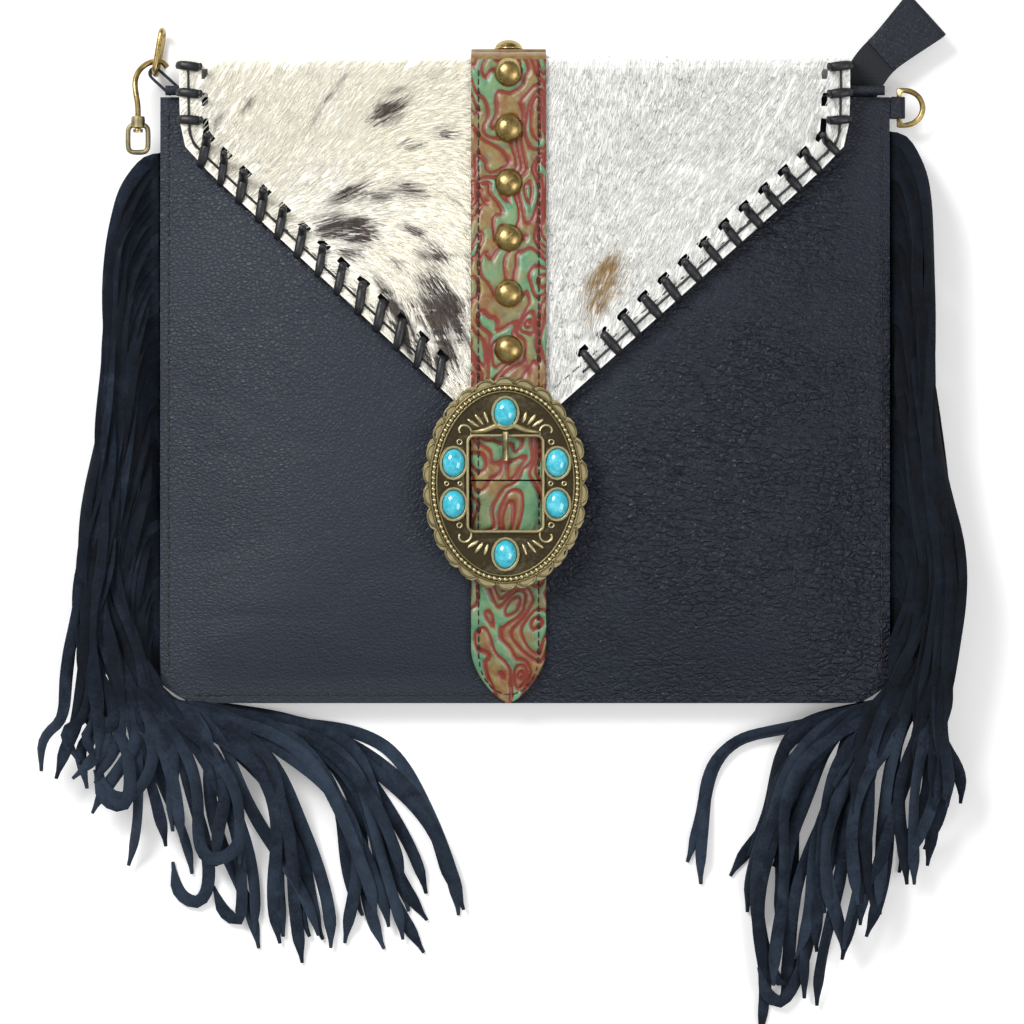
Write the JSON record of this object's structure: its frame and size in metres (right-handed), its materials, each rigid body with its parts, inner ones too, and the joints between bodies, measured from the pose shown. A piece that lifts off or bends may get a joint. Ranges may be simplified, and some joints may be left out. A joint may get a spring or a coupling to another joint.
{
  "type": "fringed shoulder bag",
  "caption": "Flat shoulder bag with a V flap laced at its edges, a studded strap under an oval concho, a zip mouth and long suede fringe at both sides.",
  "frame": {"origin": "middle of the back panel's rest face", "axes": "+Z out of the front, +Y towards the flap's fold, +X to the right seen from the front"},
  "size_m": [0.324, 0.3551, 0.0342],
  "materials": {
    "pebbled_leather": "pebbled, semi-matt, dark blue-grey",
    "hair_hide": "hair-on hide, cream with brown and grey hair",
    "lace": "smooth black lace",
    "tooled_leather": "tooled and painted",
    "suede": "navy suede, napped",
    "lining_cloth": "woven cotton",
    "zip_tape": "woven tape",
    "bronze": "antiqued, dark in the recesses",
    "brass": "antique brass",
    "stone": "polished turquoise cabochon"
  },
  "bodies": {
    "bag": {"back_panel": "pebbled_leather", "front_panel": "pebbled_leather", "bottom_welt": "pebbled_leather", "lining": "lining_cloth", "mouth_hem": "pebbled_leather", "flap_yoke": "hair_hide", "strap_yoke": "tooled_leather", "stud_7": "brass", "fringe_left": "suede", "fringe_right": "suede", "ring_tab_left": "pebbled_leather", "ring_tab_right": "pebbled_leather", "zip_tape_front": "zip_tape", "zip_tape_back": "zip_tape", "zip_tail": "zip_tape", "zip_end_tab": "pebbled_leather", "clasp_hook": "brass"},
    "flap": {"flap_hide": "hair_hide", "lacing_left": "lace", "lacing_right": "lace", "strap_upper": "tooled_leather", "strap_tip": "tooled_leather", "concho": "bronze", "concho_prong": "bronze", "stone_1": "stone", "stone_2": "stone", "stone_3": "stone", "stone_4": "stone", "stone_5": "stone", "stone_6": "stone", "stud_1": "brass", "stud_2": "brass", "stud_3": "brass", "stud_4": "brass", "stud_5": "brass", "stud_6": "brass"},
    "ring_left": {"ring_left": "brass"},
    "ring_right": {"ring_right": "brass"},
    "zip_slider": {"zip_slider": "brass"},
    "zip_puller": {"zip_puller": "brass"},
    "clasp_eye": {"clasp_eye": "bronze"}
  },
  "joints": [
    {"name": "flap_hinge", "type": "hinge", "parent": "bag", "child": "flap", "pos_m": [0, 0.1183, 0.0179], "axis": [-1, 0, 0], "range_deg": [0, 150]},
    {"name": "ring_left_swing", "type": "hinge", "parent": "bag", "child": "ring_left", "pos_m": [-0.129, 0.1139, 0.0072], "axis": [0, 0, 1], "range_deg": [-10, 60]},
    {"name": "ring_right_lift", "type": "hinge", "parent": "bag", "child": "ring_right", "pos_m": [0.1303, 0.102, 0.008], "axis": [0, -1, 0], "range_deg": [0, 90]},
    {"name": "zip_slide", "type": "slide", "parent": "bag", "child": "zip_slider", "axis": [1, 0, 0], "range_m": [0, 0.186]},
    {"name": "puller_turn", "type": "hinge", "parent": "zip_slider", "child": "zip_puller", "pos_m": [-0.0945, 0.1074, 0.0074], "axis": [0, 0, 1], "range_deg": [0, 180]},
    {"name": "eye_swivel", "type": "hinge", "parent": "bag", "child": "clasp_eye", "pos_m": [-0.1345, 0.0965, 0.014], "axis": [0, 1, 0], "continuous": true}
  ]
}
